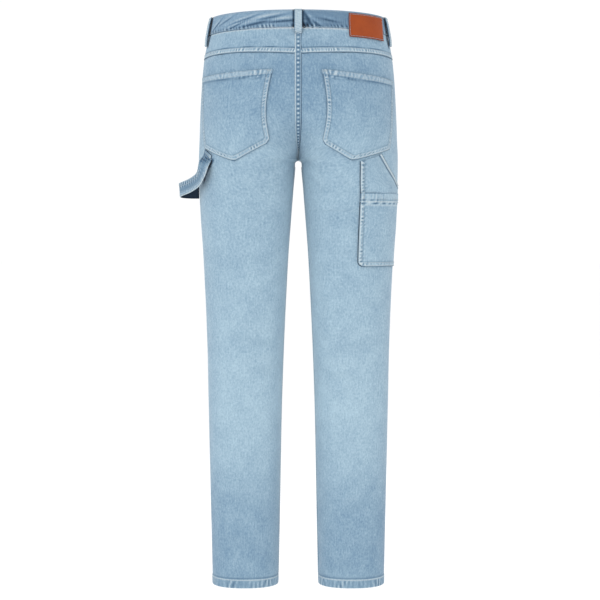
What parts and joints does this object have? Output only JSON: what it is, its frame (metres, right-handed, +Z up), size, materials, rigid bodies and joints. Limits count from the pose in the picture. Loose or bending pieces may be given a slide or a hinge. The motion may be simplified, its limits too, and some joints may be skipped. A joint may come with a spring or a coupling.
{
  "type": "carpenter trousers",
  "caption": "Light blue denim carpenter trousers in worn shape, empty, with a yoke, patch pockets, a tool pocket and a hammer loop.",
  "frame": {"origin": "middle of the waist opening, level with the waistband's top, where the wearer holds the trousers up", "axes": "+Z up along the trousers, +Y towards their front, +X towards the wearer's right leg"},
  "size_m": [0.438, 0.2605, 1.1333],
  "materials": {
    "denim": "light blue washed stretch denim twill",
    "band_denim": "less faded blue denim twill",
    "leather": "smooth brown leather",
    "thread": "pale grey-blue cotton-wrapped thread",
    "button_metal": "aged brass"
  },
  "bodies": {
    "root": {"back_right": "denim", "back_left": "denim", "front_right": "denim", "front_left": "denim", "yoke_right": "denim", "yoke_left": "denim", "back_pocket_right": "denim", "back_pocket_left": "denim", "tool_pocket_tall": "denim", "tool_pocket_short": "denim", "hammer_loop": "denim", "belt_loop_centre": "denim", "belt_loop_side_right": "denim", "belt_loop_side_left": "denim", "belt_loop_front_right": "denim", "belt_loop_front_left": "denim", "front_pocket_side_right": "denim", "front_pocket_side_left": "denim", "fly": "denim", "waistband": "band_denim", "leather_patch": "leather", "button": "button_metal"}
  },
  "joints": []
}
